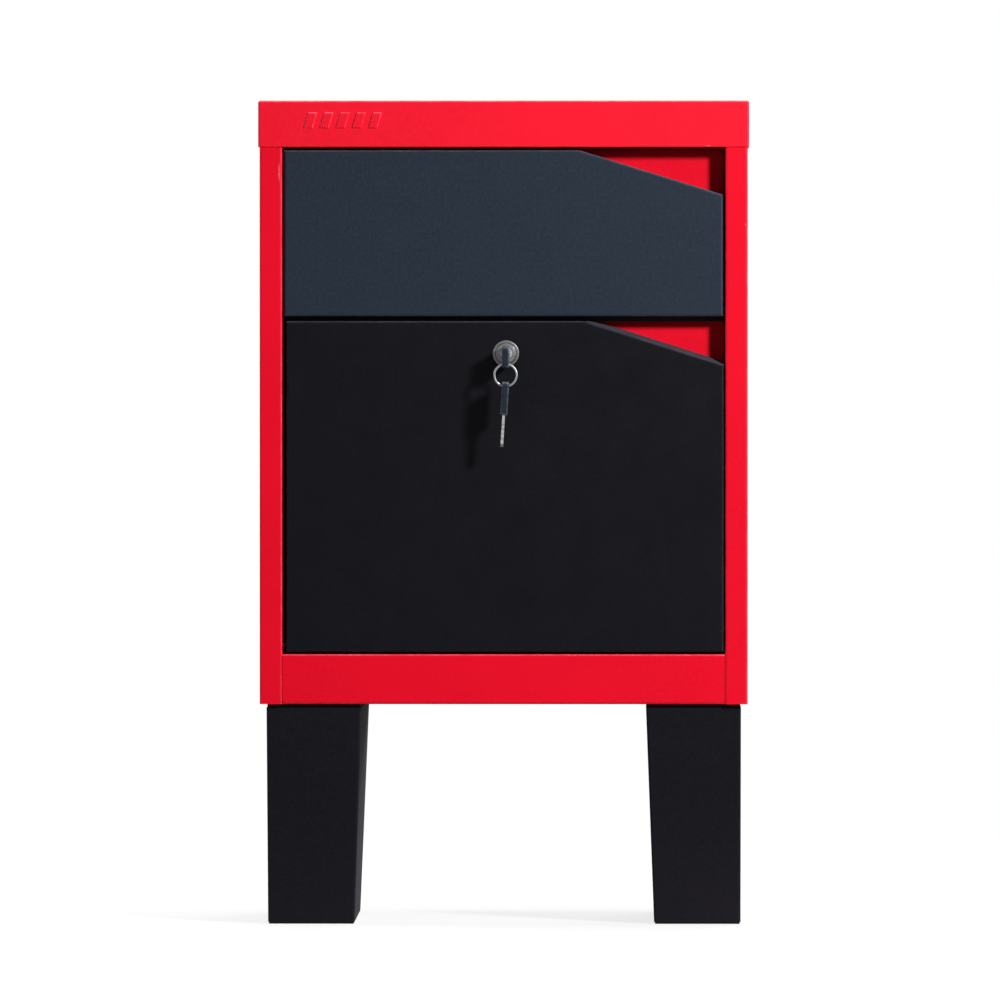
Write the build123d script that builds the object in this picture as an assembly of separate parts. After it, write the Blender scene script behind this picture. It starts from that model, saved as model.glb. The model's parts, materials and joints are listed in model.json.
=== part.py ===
from build123d import *
import math
import os

# Free-standing sheet-steel newspaper box on two deep tapered legs.
# Frame: +X to the right, the front faces -Y, +Z up, origin on the floor under the middle.
# All values are millimetres and degrees.

# Cabinet
SHEET = 1.2                      # steel sheet thickness
BEND = 2.0                       # outside radius of a bent edge
BODY_WIDTH = 410.0               # over the side panels
BODY_DEPTH = 300.0               # from the stiles' front faces to the back
LEG_HEIGHT = 187.0               # floor to the underside of the cabinet
BODY_HEIGHT = 507.0              # underside of the cabinet to the top of the cover
HEADER = 38.7                    # height of the cover's skirt
STILE = 19.0                     # width of the front flange of a side panel
LIP = 14.0                       # depth of the return behind a stile or rail
RAIL = 42.0                      # height of the bottom front rail
BACK_FLANGE = STILE              # back flanges are as wide as the stiles
FIT = 0.1                        # gap left between sheets that are welded or riveted
HOLE_FIT = 0.04                  # radial gap round a pin, bush or body held in a sheet
SIDES = (-1, 1)

FRONT = -BODY_DEPTH / 2
BACK = BODY_DEPTH / 2
SIDE = BODY_WIDTH / 2
HEIGHT = LEG_HEIGHT + BODY_HEIGHT
OPENING = SIDE - STILE           # half the width of the front opening
WING = SIDE - SHEET - FIT        # half the width of a sheet between the side panels
FLOOR_TOP = LEG_HEIGHT + SHEET
BODY_TOP = HEIGHT - SHEET
WALL_TOP = BODY_TOP - BEND + SHEET
HEADER_FOOT = HEIGHT - HEADER
RAIL_TOP = LEG_HEIGHT + RAIL
BACK_INNER = BACK - 2 * SHEET    # inner face of the back panel

# Raised bars on the header
BAR_COUNT = 5
BAR_WIDTH = 7.5
BAR_HEIGHT = 13.0
BAR_PITCH = 13.6
BAR_LEAN = 4.0
BAR_RAISE = 1.2
BAR_CHAMFER = 0.6
BARS_LEFT = -168.0
BARS_FOOT = HEIGHT - 23.0

# Screws, rivets and wall holes
M4_RADIUS = 2.0
M4_HOLE = 2.2
M4_HEAD_RADIUS = 3.8
M4_HEAD_RISE = 2.2
M4_HEAD_ROUND = 1.2
M4_LENGTH = 8.0
M4_CROSS = 2.1                   # half the length of the cross recess
M4_CROSS_HALF = 0.45             # half its width
M4_CROSS_DEPTH = 1.3
M6_RADIUS = 3.0
M6_HOLE = 3.25
M6_HEAD = 10.0                   # across flats
M6_HEAD_RISE = 4.0
M6_NUT = 5.0
M6_BELOW = 9.0                   # leg bolt below the leg's top plate
RIVET_RADIUS = 1.6
RIVET_HEAD_RADIUS = 3.3
RIVET_HEAD_RISE = 1.2
RIVET_HEAD_ROUND = 1.0
RIVET_TAIL_RADIUS = 2.3
RIVET_TAIL = 1.0
BACK_RIVET_HEIGHTS = [LEG_HEIGHT + rise for rise in (40.0, 170.0, 300.0, 430.0)]
COVER_SCREW_HEIGHTS = [HEIGHT - drop for drop in (30.0, 11.0)]
WALL_HOLE_X = 240.0
WALL_HOLE_Z = 320.0
WALL_HOLE_MID = LEG_HEIGHT + 245.0
WALL_HOLE_RADIUS = 3.5

# Flap and door, both pans with a liner sheet behind
PAN_DEPTH = 20.0
PAN_FLANGE = 9.0                 # inward flange that carries the liner
FLAP_WIDTH = 368.8
FLAP_FOOT = LEG_HEIGHT + 325.7
FLAP_TOP = FLAP_FOOT + 139.5
FLAP_CUT_START = 64.0            # x where the diagonal leaves the top edge
FLAP_CUT_DROP = 37.3
DOOR_WIDTH = 368.0
DOOR_OFFSET = 1.3                # the door hangs a little to the right
DOOR_FOOT = LEG_HEIGHT + 43.8
DOOR_TOP = DOOR_FOOT + 278.0
DOOR_CUT_START = 68.3
DOOR_CUT_DROP = 37.0
DOOR_CUT_SLOPE = 3.2             # rise of the door's grip edge from front to back
LINER_RIVET_INSET = 5.4          # rivet row from a panel's edge
LINER_RIVET_RISE = 35.0          # lowest rivets of the two ends above the lower edge
LINER_RIVET_END = 30.0           # outer rivets of a row from the end rivets
PAN_BACK = FRONT + PAN_DEPTH
LINER_BACK = PAN_BACK + SHEET
FLAP_SIZE = (0.0, FLAP_WIDTH, FLAP_FOOT, FLAP_TOP, FLAP_CUT_START, FLAP_CUT_DROP)
DOOR_SIZE = (DOOR_OFFSET, DOOR_WIDTH, DOOR_FOOT, DOOR_TOP, DOOR_CUT_START, DOOR_CUT_DROP)

# Pivots
AXIS_BEHIND = 5.5                # pivot axis behind the front face
AXIS_ABOVE = 5.8                 # pivot axis above the lower edge
PIVOT_Y = FRONT + AXIS_BEHIND
FLAP_AXIS_Z = FLAP_FOOT + AXIS_ABOVE
DOOR_AXIS_Z = DOOR_FOOT + AXIS_ABOVE
PIN_RADIUS = 2.0
PIN_HEAD_RADIUS = 3.4
PIN_HEAD = 2.0
PIN_END = 174.0                  # |x| of a pin's inner end
BUSH_RADIUS = 3.0
BUSH_FLANGE_RADIUS = 3.5
BUSH_FLANGE = 1.5
BUSH_END = 176.5
RUNNING = 0.05                   # radial clearance of a running fit

# Stop arms, curved about the pivot axis, and the brackets that stop their pegs
ARM_X = 176.0                    # |x| of an arm's inner face
ARM_THICK = 3.0
FLAP_ARM = (70.0, 78.0)          # inner and outer radius
DOOR_ARM = (90.0, 100.0)
FLAP_TRAVEL = 60.0
DOOR_TRAVEL = 90.0
FLAP_ARM_END = 86.0              # angle of the peg from the vertical, closed
DOOR_ARM_END = 115.0
ARM_PAST_PEG = 3.0               # angle of the arm beyond its peg
ARM_FOOT = 1.5                   # thickness of the foot on the liner
ARM_FOOT_REACH = 12.0            # foot beyond the arm's inner face
ARM_FOOT_BELOW = 22.0            # foot below the arm's outer radius
ARM_FOOT_ABOVE = 4.0
PEG_RADIUS = 2.5
PEG_END = 190.0
STOP_GAP = 0.25
BRACKET_TAB = 2.5
BRACKET_PLATE = 2.0
BRACKET_HALF = 7.0               # half the bracket's height
BRACKET_DEPTH = 14.0             # plate behind the peg's line
BRACKET_CLEAR = 2.0              # tab from the arm

# Shelf, stop rail, bumpers and magnet
SHELF_TOP = FLAP_FOOT - 0.6
KEEPER_FRONT = -126.6            # front face of the flanges that the panels close against
KEEPER_FOOT = SHELF_TOP - 15.1
STOP_RAIL_FOOT = FLAP_TOP - 16.2
STOP_RAIL_DEPTH = 20.0
BUMPER_X = 110.0
BUMPER_DROP = 8.0                # below a panel's top edge
BUMPER_RADIUS = 4.0
BUMPER_GAP = 0.2
CATCH_HALF_WIDTH = 22.0
CATCH_HALF_HEIGHT = 8.0
CATCH_DEPTH = 12.0
CATCH_ROUND = 2.0
POLE_X = 11.0
POLE_HALF_WIDTH = 6.0
POLE_HEIGHT = 4.0
POLE_DROP = 7.0                  # underside of a pole below the stop rail's edge
POLE_GAP = 0.3

# Lock
LOCK_X = 2.0
LOCK_Z = DOOR_TOP - 27.2
BEZEL_RADIUS = 11.2
BEZEL_RISE = 1.4
BEZEL_ROUND = 0.8
RIM_RADIUS = 8.6
RIM_RISE = 1.0
RIM_ROUND = 0.5
LOCK_RADIUS = 9.4
LOCK_BACK = -127.0
LOCK_LINER_GAP = 0.6
LOCK_NUT_FLATS = 24.0
NUT_THICK = 4.0
PLUG_RADIUS = 6.0
PLUG_SUNK = 0.3                  # plug's face behind the rim's
PLUG_CHAMFER = 0.4
PLUG_SHOULDER = -124.8
STUB_RADIUS = 3.0
STUB_PAST_CAM = 5.5
CAM_THICK = 2.0
CAM_REACH = 26.0
CAM_WIDTH = 12.0
BEZEL_FACE = FRONT - BEZEL_RISE - RIM_RISE

# Keys and ring
KEY_THICK = 2.2
KEY_BLADE = 8.4
KEY_BLADE_LENGTH = 26.0
KEY_ROOT = 4.0                   # blade inside the head
KEY_POINT = (2.6, 0.8)           # length of the point and half its blunt end
KEY_NOTCHES = ((6.0, 1.4), (10.0, 0.8), (14.0, 1.7), (18.0, 1.0))
KEY_NOTCH_FLARE = 0.6
KEYWAY_GAP = 0.1
HEAD_THICK = 6.2
HEAD_WIDTH = 19.0
HEAD_LENGTH = 29.0
HEAD_DROP = 3.0                  # the head's middle is this far below the blade's
HEAD_CORNER = 4.0
HEAD_ROUND = 1.5
HEAD_BRIDGE = 2.0                # material outside the ring's slot
HEAD_GAP = 1.0                   # between the rim and the head of the inserted key
SLOT_WIDTH = 4.6
SLOT_LENGTH = 15.8
SLOT_CORNER = 0.5
RING_RADIUS = 9.25               # to the middle of the wire
RING_SECTION = (1.9, 2.6)        # radial and axial thickness of the two coils together
RING_CORNER = 0.6
WIRE_CLEAR = 2.1                 # middle of the wire from the edge of a key's slot
SPARE_LEAN = 3.5
KEY_TIP_Y = BEZEL_FACE - HEAD_GAP + KEY_BLADE_LENGTH
RING_Y = BEZEL_FACE - HEAD_GAP - HEAD_LENGTH + HEAD_BRIDGE + SLOT_WIDTH / 2
RING_HANG_Z = LOCK_Z - HEAD_DROP - SLOT_LENGTH / 2 + WIRE_CLEAR
RING_Z = RING_HANG_Z - RING_RADIUS
SPARE_HANG_Z = RING_Z - RING_RADIUS

# Legs, one deep tapered box on each side
LEG_INSET = 5.5                  # outer face from the cabinet's side
LEG_TOP_WIDTH = 80.0
LEG_FOOT_WIDTH = 73.0
LEG_TOP_DEPTH = 290.0
LEG_FOOT_DEPTH = 205.0
LEG_SHEET = 1.5
LEG_PLATE = 3.0
PAD = 1.5
PAD_INSET = 0.8
ANCHOR_RADIUS = 4.0
ANCHOR_SPACING = 150.0           # between the two anchor holes of a leg
LEG_BOLT_X = 44.0
LEG_BOLT_Y = 220.0
LEG_TOP_Z = LEG_HEIGHT - LEG_PLATE


def block(x, y, z):
    """Box between two corners given as (low, high) pairs."""
    centre = [(low + high) / 2 for low, high in (x, y, z)]
    size = [abs(high - low) for low, high in (x, y, z)]
    return Pos(*centre) * Box(*size)


def rod_x(x0, x1, y, z, radius):
    """Round bar along X between x0 and x1."""
    return Pos((x0 + x1) / 2, y, z) * Rot(0, 90, 0) * Cylinder(radius, abs(x1 - x0))


def rod_y(x, y0, y1, z, radius):
    """Round bar along Y between y0 and y1."""
    return Pos(x, (y0 + y1) / 2, z) * Rot(90, 0, 0) * Cylinder(radius, abs(y1 - y0))


def rod_z(x, y, z0, z1, radius):
    """Round bar along Z between z0 and z1."""
    return Pos(x, y, (z0 + z1) / 2) * Cylinder(radius, abs(z1 - z0))


def folded(plane, points, low, high):
    """Bent sheet whose outer face follows points, extruded from low to high along plane's normal."""
    outer = FilletPolyline(*points, radius=BEND)
    section = make_face(offset(outer, amount=SHEET, side=Side.LEFT))
    return extrude(plane.offset(low) * section, high - low)


def group(solids):
    """Several separate solids in one node."""
    return Compound(children=list(solids))


def front_plane(y):
    """Plane parallel to the front at y, whose local axes are X and Z."""
    return Plane.XZ.offset(-y)


def polygon(points):
    return make_face(Polyline(*points, close=True))


# Cabinet ------------------------------------------------------------------------------

def header_bar(index):
    """One slanted raised bar on the header."""
    left = BARS_LEFT + index * BAR_PITCH
    outline = [
        (left, BARS_FOOT),
        (left + BAR_WIDTH, BARS_FOOT),
        (left + BAR_WIDTH + BAR_LEAN, BARS_FOOT + BAR_HEIGHT),
        (left + BAR_LEAN, BARS_FOOT + BAR_HEIGHT),
    ]
    bar = extrude(front_plane(FRONT - SHEET / 2) * polygon(outline), SHEET / 2 + BAR_RAISE)
    face = bar.faces().sort_by(Axis.Y)[0]
    return chamfer(face.edges(), BAR_CHAMFER)


def top_cover():
    """Pan that slips over the cabinet; its skirt is the header in front."""
    half_x = SIDE + SHEET
    half_y = BACK + SHEET
    shell = block((-half_x, half_x), (-half_y, half_y), (HEADER_FOOT, HEIGHT))
    shell = fillet(shell.edges().filter_by(Axis.Z), BEND)
    shell = fillet(shell.faces().sort_by(Axis.Z)[-1].edges(), BEND)
    hollow = block((-SIDE, SIDE), (FRONT, BACK), (HEADER_FOOT - 1, BODY_TOP))
    hollow = fillet(hollow.edges().filter_by(Axis.Z), BEND - SHEET)
    hollow = fillet(hollow.faces().sort_by(Axis.Z)[-1].edges(), BEND - SHEET)
    cover = shell - hollow
    for index in range(BAR_COUNT):
        cover += header_bar(index)
    for x, z in cover_screw_places():
        cover -= rod_y(x, BACK, BACK + 2 * SHEET, z, M4_HOLE)
    return cover


def flange_places(heights):
    """Places on the middle lines of the back flanges, the left flange first."""
    return [(side * (SIDE - BACK_FLANGE / 2), z) for side in SIDES for z in heights]


def cover_screw_places():
    return flange_places(COVER_SCREW_HEIGHTS)


def back_rivet_places():
    return flange_places(BACK_RIVET_HEIGHTS)


def side_panel(side):
    """Side wall with the stile and its lip in front and a flange at the back."""
    points = [
        (-SIDE + BACK_FLANGE, BACK),
        (-SIDE, BACK),
        (-SIDE, FRONT),
        (-OPENING, FRONT),
        (-OPENING, FRONT + LIP),
    ]
    panel = folded(Plane.XY, points, LEG_HEIGHT, WALL_TOP)
    for z in (FLAP_AXIS_Z, DOOR_AXIS_Z):
        panel -= rod_x(-OPENING - 2 * SHEET, -OPENING + SHEET, PIVOT_Y, z, PIN_RADIUS + HOLE_FIT)
    for x, z in back_rivet_places()[:len(BACK_RIVET_HEIGHTS)]:
        panel -= rod_y(x, BACK - 2 * SHEET, BACK + SHEET, z, RIVET_RADIUS)
    for x, z in cover_screw_places()[:len(COVER_SCREW_HEIGHTS)]:
        panel -= rod_y(x, BACK - 2 * SHEET, BACK + SHEET, z, M4_HOLE)
    return panel if side < 0 else mirror(panel, Plane.YZ)


def back_panel():
    """Flat sheet inside the back flanges, with four holes for fixing to a wall."""
    wing = SIDE - BEND - FIT
    height = (LEG_HEIGHT + BEND + FIT, BODY_TOP - BEND)
    panel = block((-wing, wing), (BACK_INNER, BACK_INNER + SHEET), height)
    for x, z in back_rivet_places():
        panel -= rod_y(x, BACK_INNER - 1, BACK, z, RIVET_RADIUS)
    for x, z in cover_screw_places():
        panel -= rod_y(x, BACK_INNER - 1, BACK, z, M4_HOLE)
    for side in SIDES:
        for rise in SIDES:
            z = WALL_HOLE_MID + rise * WALL_HOLE_Z / 2
            panel -= rod_y(side * WALL_HOLE_X / 2, BACK_INNER - 1, BACK, z, WALL_HOLE_RADIUS)
    return panel


def bottom_pan():
    """Cabinet floor with the front rail, its return, and a back flange."""
    points = [
        (FRONT + LIP, RAIL_TOP),
        (FRONT, RAIL_TOP),
        (FRONT, LEG_HEIGHT),
        (BACK, LEG_HEIGHT),
        (BACK, LEG_HEIGHT + BACK_FLANGE),
    ]
    pan = folded(Plane.YZ, points, -OPENING + FIT, OPENING - FIT)
    pan += block((-WING, WING), (FRONT + LIP + FIT, BACK - BEND - FIT), (LEG_HEIGHT, FLOOR_TOP))
    for x, y in all_leg_bolt_places():
        pan -= rod_z(x, y, LEG_HEIGHT - 1, FLOOR_TOP + 1, M6_HOLE)
    return pan


def middle_shelf():
    """Shelf between the two compartments, folded down along the back."""
    points = [
        (BACK_INNER - FIT, SHELF_TOP - BACK_FLANGE),
        (BACK_INNER - FIT, SHELF_TOP),
        (KEEPER_FRONT + SHEET, SHELF_TOP),
    ]
    return folded(Plane.YZ, points, -WING, WING)


def lock_keeper():
    """Flat strip welded across the shelf's front edge; the lock's cam turns up behind it."""
    return block((-WING, WING), (KEEPER_FRONT, KEEPER_FRONT + SHEET), (KEEPER_FOOT, SHELF_TOP))


def upper_stop_rail():
    """Angle under the cover that the flap closes against."""
    points = [
        (KEEPER_FRONT + STOP_RAIL_DEPTH, BODY_TOP - FIT),
        (KEEPER_FRONT, BODY_TOP - FIT),
        (KEEPER_FRONT, STOP_RAIL_FOOT),
    ]
    return folded(Plane.YZ, points, -WING, WING)


# Flap and door ------------------------------------------------------------------------

def pan_outline(centre, width, foot, top, cut_start, cut_drop, inset, rise=0.0):
    """Rectangle with its upper right corner cut off, shrunk by inset."""
    left = centre - width / 2
    right = centre + width / 2
    outline = polygon([
        (left, foot),
        (right, foot),
        (right, top - cut_drop + rise),
        (cut_start + rise * (right - cut_start) / cut_drop, top),
        (left, top),
    ])
    return offset(outline, -inset, kind=Kind.INTERSECTION) if inset else outline


def pan_shape(size, y0, y1, inset, slope):
    """Solid between two outlines at depths y0 and y1; slope lifts the diagonal with depth."""
    faces = [
        front_plane(y) * pan_outline(*size, inset, slope * (y - FRONT) / PAN_DEPTH)
        for y in (y0, y1)
    ]
    return loft(faces, ruled=True)


def pan(size, slope):
    """Hollow panel with bent edges and an inward flange at the back."""
    shell = pan_shape(size, FRONT, PAN_BACK, 0.0, slope)
    shell = fillet(shell.faces().sort_by(Axis.Y)[0].edges(), BEND)
    hollow = pan_shape(size, FRONT + SHEET, PAN_BACK - SHEET, SHEET, slope)
    hollow = fillet(hollow.faces().sort_by(Axis.Y)[0].edges(), BEND - SHEET)
    window = pan_shape(size, PAN_BACK - 2 * SHEET, PAN_BACK + SHEET, PAN_FLANGE, slope)
    return shell - hollow - window


def bush_holes(centre, width, axis_z):
    """Holes for the pivot bushes through both ends of a pan."""
    left = centre - width / 2
    right = centre + width / 2
    return (
        rod_x(left - 1, left + 2 * SHEET, PIVOT_Y, axis_z, BUSH_RADIUS + HOLE_FIT)
        + rod_x(right - 2 * SHEET, right + 1, PIVOT_Y, axis_z, BUSH_RADIUS + HOLE_FIT)
    )


def liner_rivet_places(centre, width, foot, top):
    """Rivets along the lower edge, the left edge and the straight part of the top edge."""
    left = centre - width / 2 + LINER_RIVET_INSET
    right = centre + width / 2 - LINER_RIVET_INSET
    low = foot + LINER_RIVET_INSET
    high = top - LINER_RIVET_INSET
    return [
        (left + LINER_RIVET_END, low),
        (centre, low),
        (right - LINER_RIVET_END, low),
        (left, foot + LINER_RIVET_RISE),
        (right, foot + LINER_RIVET_RISE),
        (left + LINER_RIVET_END, high),
        (centre - LINER_RIVET_END, high),
    ]


def liner(centre, width, foot, top):
    """Sheet that closes the back of a panel and shows behind the finger opening."""
    left = centre - width / 2
    right = centre + width / 2
    sheet = block((left, right), (PAN_BACK, LINER_BACK), (foot, top))
    return fillet(sheet.edges().filter_by(Axis.Y), BEND)


def rivet_holes(places):
    return group(rod_y(x, PAN_BACK - 2 * SHEET, LINER_BACK + 1, z, RIVET_RADIUS) for x, z in places)


def rivet(x, z, y0, y1):
    """Rivet along Y that clamps from y0 to y1, with a domed head at y1."""
    head = rod_y(x, y1, y1 + RIVET_HEAD_RISE, z, RIVET_HEAD_RADIUS)
    head = fillet(head.faces().sort_by(Axis.Y)[-1].edges(), RIVET_HEAD_ROUND)
    tail = rod_y(x, y0 - RIVET_TAIL, y0, z, RIVET_TAIL_RADIUS)
    return rod_y(x, y0, y1, z, RIVET_RADIUS) + head + tail


def flap_panel():
    panel = pan(FLAP_SIZE, 0.0) - bush_holes(0.0, FLAP_WIDTH, FLAP_AXIS_Z)
    return panel - rivet_holes(liner_rivet_places(*FLAP_SIZE[:4]))


def flap_liner():
    return liner(*FLAP_SIZE[:4]) - rivet_holes(liner_rivet_places(*FLAP_SIZE[:4]))


def door_panel():
    panel = pan(DOOR_SIZE, DOOR_CUT_SLOPE) - bush_holes(DOOR_OFFSET, DOOR_WIDTH, DOOR_AXIS_Z)
    panel -= rod_y(LOCK_X, FRONT - 1, FRONT + 2 * SHEET, LOCK_Z, LOCK_RADIUS + 2 * HOLE_FIT)
    return panel - rivet_holes(liner_rivet_places(*DOOR_SIZE[:4]))


def door_liner():
    sheet = liner(*DOOR_SIZE[:4]) - rivet_holes(liner_rivet_places(*DOOR_SIZE[:4]))
    return sheet - rod_y(LOCK_X, PAN_BACK - 1, LINER_BACK + 1, LOCK_Z, LOCK_RADIUS + LOCK_LINER_GAP)


def pivot_pins(axis_z):
    """Two shouldered pins held in the lips of the stiles."""
    outer = OPENING + SHEET
    return group(
        rod_x(side * PIN_END, side * outer, PIVOT_Y, axis_z, PIN_RADIUS)
        + rod_x(side * outer, side * (outer + PIN_HEAD), PIVOT_Y, axis_z, PIN_HEAD_RADIUS)
        for side in SIDES
    )


def pivot_bushes(centre, width, axis_z):
    """Two flanged nylon bushes in the ends of a panel."""
    bushes = []
    for side in SIDES:
        end = centre + side * width / 2
        wall = end - side * SHEET
        body = rod_x(side * BUSH_END, end, PIVOT_Y, axis_z, BUSH_RADIUS)
        body += rod_x(wall - side * BUSH_FLANGE, wall, PIVOT_Y, axis_z, BUSH_FLANGE_RADIUS)
        bore = rod_x(side * (BUSH_END - 1), end + side, PIVOT_Y, axis_z, PIN_RADIUS + RUNNING)
        bushes.append(body - bore)
    return group(bushes)


# Stop arms ----------------------------------------------------------------------------

def sector(radii, start, end):
    """Flat ring sector about the origin; angles run from local Y towards local X."""
    arcs = [CenterArc((0, 0), radius, 90 - end, end - start) for radius in radii]
    ends = [Line(arcs[0] @ t, arcs[1] @ t) for t in (0, 1)]
    return make_face(arcs + ends)


def stop_arm(side, radii, end_angle, axis_z):
    """Curved arm on a panel's liner, with a peg near its free end."""
    middle = sum(radii) / 2
    x0 = min(side * ARM_X, side * (ARM_X + ARM_THICK))
    root = LINER_BACK + ARM_FOOT / 2 - PIVOT_Y
    start = math.degrees(math.asin(root / radii[0]))
    section = Plane.YZ.offset(x0) * Pos(PIVOT_Y, axis_z) * sector(radii, start, end_angle + ARM_PAST_PEG)
    bar = extrude(section, ARM_THICK)
    top = axis_z + radii[1]
    foot = block(
        sorted((side * (ARM_X - ARM_FOOT_REACH), side * (ARM_X + ARM_THICK))),
        (LINER_BACK, LINER_BACK + ARM_FOOT),
        (top - ARM_FOOT_BELOW, top + ARM_FOOT_ABOVE),
    )
    angle = math.radians(end_angle)
    peg_y = PIVOT_Y + middle * math.sin(angle)
    peg_z = axis_z + middle * math.cos(angle)
    peg = rod_x(side * ARM_X, side * PEG_END, peg_y, peg_z, PEG_RADIUS)
    return bar + foot + peg


def stop_arms(radii, end_angle, axis_z):
    return group(stop_arm(side, radii, end_angle, axis_z) for side in SIDES)


def arm_bracket(side, radii, open_angle, axis_z):
    """Angle on the side wall whose tab stops the peg when the panel is fully open."""
    middle = sum(radii) / 2
    wall = SIDE - SHEET
    face = PIVOT_Y - PEG_RADIUS - STOP_GAP
    height = (axis_z + middle - BRACKET_HALF, axis_z + middle + BRACKET_HALF)
    tab_width = sorted((side * (ARM_X + ARM_THICK + BRACKET_CLEAR), side * wall))
    plate_width = sorted((side * (wall - BRACKET_PLATE), side * wall))
    tab = block(tab_width, (face - BRACKET_TAB, face), height)
    plate = block(plate_width, (face - BRACKET_TAB, PIVOT_Y + BRACKET_DEPTH), height)
    pivot = Axis((0, PIVOT_Y, axis_z), (1, 0, 0))
    return (tab + plate).rotate(pivot, -open_angle)


def arm_brackets(radii, open_angle, axis_z):
    return group(arm_bracket(side, radii, open_angle, axis_z) for side in SIDES)


# Bumpers and catch --------------------------------------------------------------------

def bumpers(z):
    """Round rubber bumpers on a closing flange, just clear of the liner."""
    face = LINER_BACK + BUMPER_GAP
    return group(rod_y(side * BUMPER_X, face, KEEPER_FRONT, z, BUMPER_RADIUS) for side in SIDES)


def magnet_catch():
    """Magnet in a plastic case behind the stop rail."""
    back = KEEPER_FRONT + SHEET
    case = block(
        (-CATCH_HALF_WIDTH, CATCH_HALF_WIDTH),
        (back, back + CATCH_DEPTH),
        (STOP_RAIL_FOOT - CATCH_HALF_HEIGHT, STOP_RAIL_FOOT + CATCH_HALF_HEIGHT),
    )
    return fillet(case.edges().filter_by(Axis.Y), CATCH_ROUND)


def magnet_poles():
    """Two steel pole plates reaching under the stop rail."""
    foot = STOP_RAIL_FOOT - POLE_DROP
    return group(
        block(
            (side * POLE_X - POLE_HALF_WIDTH, side * POLE_X + POLE_HALF_WIDTH),
            (LINER_BACK + POLE_GAP, KEEPER_FRONT + SHEET),
            (foot, foot + POLE_HEIGHT),
        )
        for side in SIDES
    )


# Lock and keys ------------------------------------------------------------------------

def lock_housing():
    """Round cam-lock body with a stepped bezel."""
    bezel = rod_y(LOCK_X, FRONT - BEZEL_RISE, FRONT, LOCK_Z, BEZEL_RADIUS)
    bezel = fillet(bezel.faces().sort_by(Axis.Y)[0].edges(), BEZEL_ROUND)
    rim = rod_y(LOCK_X, BEZEL_FACE, FRONT - BEZEL_RISE, LOCK_Z, RIM_RADIUS)
    rim = fillet(rim.faces().sort_by(Axis.Y)[0].edges(), RIM_ROUND)
    body = rod_y(LOCK_X, FRONT, LOCK_BACK, LOCK_Z, LOCK_RADIUS)
    bore = rod_y(LOCK_X, BEZEL_FACE - 1, LOCK_BACK + 1, LOCK_Z, PLUG_RADIUS + RUNNING)
    return bezel + rim + body - bore


def hexagon_y(x, z, y0, y1, flats, hole):
    """Hexagonal nut along Y."""
    radius = flats / math.sqrt(3)
    nut = extrude(front_plane(y1) * Pos(x, z) * RegularPolygon(radius, 6), y1 - y0)
    return nut - rod_y(x, y0 - 1, y1 + 1, z, hole)


def lock_nut():
    inside = FRONT + SHEET
    return hexagon_y(LOCK_X, LOCK_Z, inside, inside + NUT_THICK, LOCK_NUT_FLATS, LOCK_RADIUS)


def lock_plug():
    """Turning core with a keyway and a stub that carries the cam."""
    face = BEZEL_FACE + PLUG_SUNK
    core = rod_y(LOCK_X, face, PLUG_SHOULDER, LOCK_Z, PLUG_RADIUS)
    core = chamfer(core.faces().sort_by(Axis.Y)[0].edges(), PLUG_CHAMFER)
    stub_end = PLUG_SHOULDER + CAM_THICK + STUB_PAST_CAM
    stub = rod_y(LOCK_X, PLUG_SHOULDER, stub_end, LOCK_Z, STUB_RADIUS)
    half_x = KEY_THICK / 2 + KEYWAY_GAP
    half_z = KEY_BLADE / 2 + KEYWAY_GAP
    keyway = block(
        (LOCK_X - half_x, LOCK_X + half_x),
        (face - 1, face + KEY_BLADE_LENGTH),
        (LOCK_Z - half_z, LOCK_Z + half_z),
    )
    return core + stub - keyway


def lock_cam():
    """Flat tongue that points sideways while the door is unlocked."""
    end = LOCK_X - CAM_REACH + CAM_WIDTH / 2
    y = (PLUG_SHOULDER, PLUG_SHOULDER + CAM_THICK)
    tongue = block((end, LOCK_X), y, (LOCK_Z - CAM_WIDTH / 2, LOCK_Z + CAM_WIDTH / 2))
    tongue += rod_y(end, y[0], y[1], LOCK_Z, CAM_WIDTH / 2)
    tongue += rod_y(LOCK_X, y[0], y[1], LOCK_Z, CAM_WIDTH / 2 + 1)
    return tongue - rod_y(LOCK_X, y[0] - 1, y[1] + 1, LOCK_Z, STUB_RADIUS)


def cam_nut():
    start = PLUG_SHOULDER + CAM_THICK
    return hexagon_y(LOCK_X, LOCK_Z, start, start + NUT_THICK, M6_HEAD, STUB_RADIUS)


# A key is drawn with its tip at the origin, its length along +Y and its width along Z.

def plain_blade():
    """Flat blade with a pointed tip and notches on both edges."""
    half = KEY_BLADE / 2
    root = KEY_BLADE_LENGTH + KEY_ROOT
    point, blunt = KEY_POINT
    outline = [(0, blunt), (point, half), (root, half), (root, -half), (point, -half), (0, -blunt)]
    blade = extrude(Plane.YZ.offset(-KEY_THICK / 2) * polygon(outline), KEY_THICK)
    for along, depth in KEY_NOTCHES:
        for edge in SIDES:
            base = edge * (half + HOLE_FIT)
            tip = edge * (half - depth)
            flare = depth + KEY_NOTCH_FLARE
            notch = polygon([(along - flare, base), (along, tip), (along + flare, base)])
            blade -= extrude(Plane.YZ.offset(-KEY_THICK) * notch, 2 * KEY_THICK)
    return blade


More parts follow.
